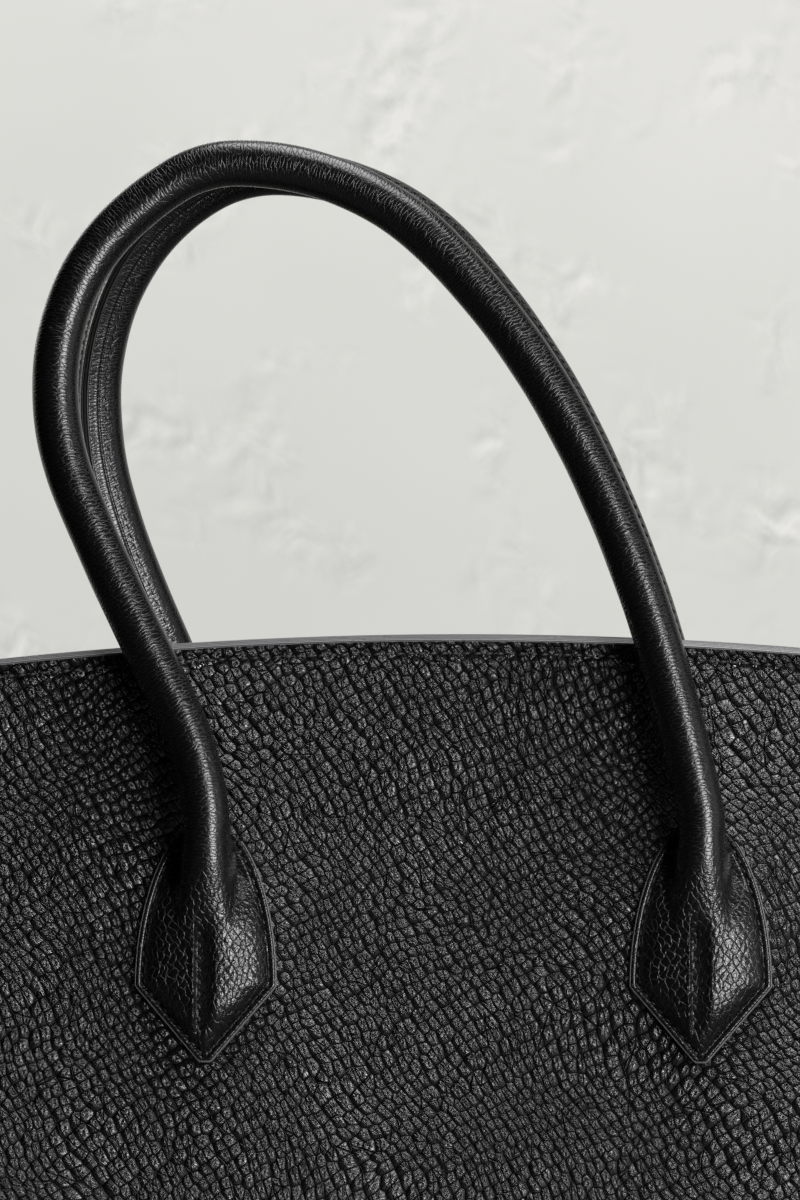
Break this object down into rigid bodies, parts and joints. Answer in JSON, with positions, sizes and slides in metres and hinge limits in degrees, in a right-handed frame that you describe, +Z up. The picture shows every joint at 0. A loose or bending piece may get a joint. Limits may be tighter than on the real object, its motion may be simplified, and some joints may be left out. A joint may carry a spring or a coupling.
{
  "type": "top handle bag",
  "caption": "Structured leather bag with an arched open rim, rolled handles that fold outwards, padded shield tabs, folded sides and a footed base.",
  "frame": {"origin": "centre of the bag's footprint, on the floor under its feet", "axes": "+X across the bag to its right side as seen from the front, the front faces -Y, +Z up"},
  "size_m": [0.37, 0.1618, 0.4283],
  "materials": {
    "pebbled_leather": "pebbled grain, satin",
    "handle_leather": "smoothed grain, satin",
    "smooth_leather": "smooth",
    "lining_cloth": "plain weave",
    "stiffener_board": "matt",
    "padding_foam": "matt",
    "plated_metal": "polished plate"
  },
  "bodies": {
    "bag": {"front_panel": "pebbled_leather", "back_panel": "pebbled_leather", "left_gusset": "pebbled_leather", "right_gusset": "pebbled_leather", "base_panel": "pebbled_leather", "front_stiffener": "stiffener_board", "back_stiffener": "stiffener_board", "base_board": "stiffener_board", "front_facing": "smooth_leather", "back_facing": "smooth_leather", "front_lining": "lining_cloth", "back_lining": "lining_cloth", "left_lining": "lining_cloth", "right_lining": "lining_cloth", "base_lining": "lining_cloth", "slip_pocket": "lining_cloth", "feet": "plated_metal", "foot_washers": "plated_metal", "snap_stud": "plated_metal", "snap_socket": "plated_metal", "snap_stud_plate": "plated_metal", "snap_socket_plate": "plated_metal", "front_left_tab": "pebbled_leather", "front_left_filler": "padding_foam", "front_left_backer": "stiffener_board", "front_left_neck": "handle_leather", "front_right_tab": "pebbled_leather", "front_right_filler": "padding_foam", "front_right_backer": "stiffener_board", "front_right_neck": "handle_leather", "back_left_tab": "pebbled_leather", "back_left_filler": "padding_foam", "back_left_backer": "stiffener_board", "back_left_neck": "handle_leather", "back_right_tab": "pebbled_leather", "back_right_filler": "padding_foam", "back_right_backer": "stiffener_board", "back_right_neck": "handle_leather"},
    "front_handle": {"front_handle_cover": "handle_leather", "front_handle_core": "padding_foam"},
    "back_handle": {"back_handle_cover": "handle_leather", "back_handle_core": "padding_foam"}
  },
  "joints": [
    {"name": "front_handle_fold", "type": "hinge", "parent": "bag", "child": "front_handle", "pos_m": [0, -0.05034, 0.22537], "axis": [1, 0, 0], "range_deg": [0, 110], "deforming": ["front_left_neck", "front_right_neck"]},
    {"name": "back_handle_fold", "type": "hinge", "parent": "bag", "child": "back_handle", "pos_m": [0, 0.05034, 0.22537], "axis": [-1, 0, 0], "range_deg": [0, 110], "deforming": ["back_left_neck", "back_right_neck"]}
  ]
}
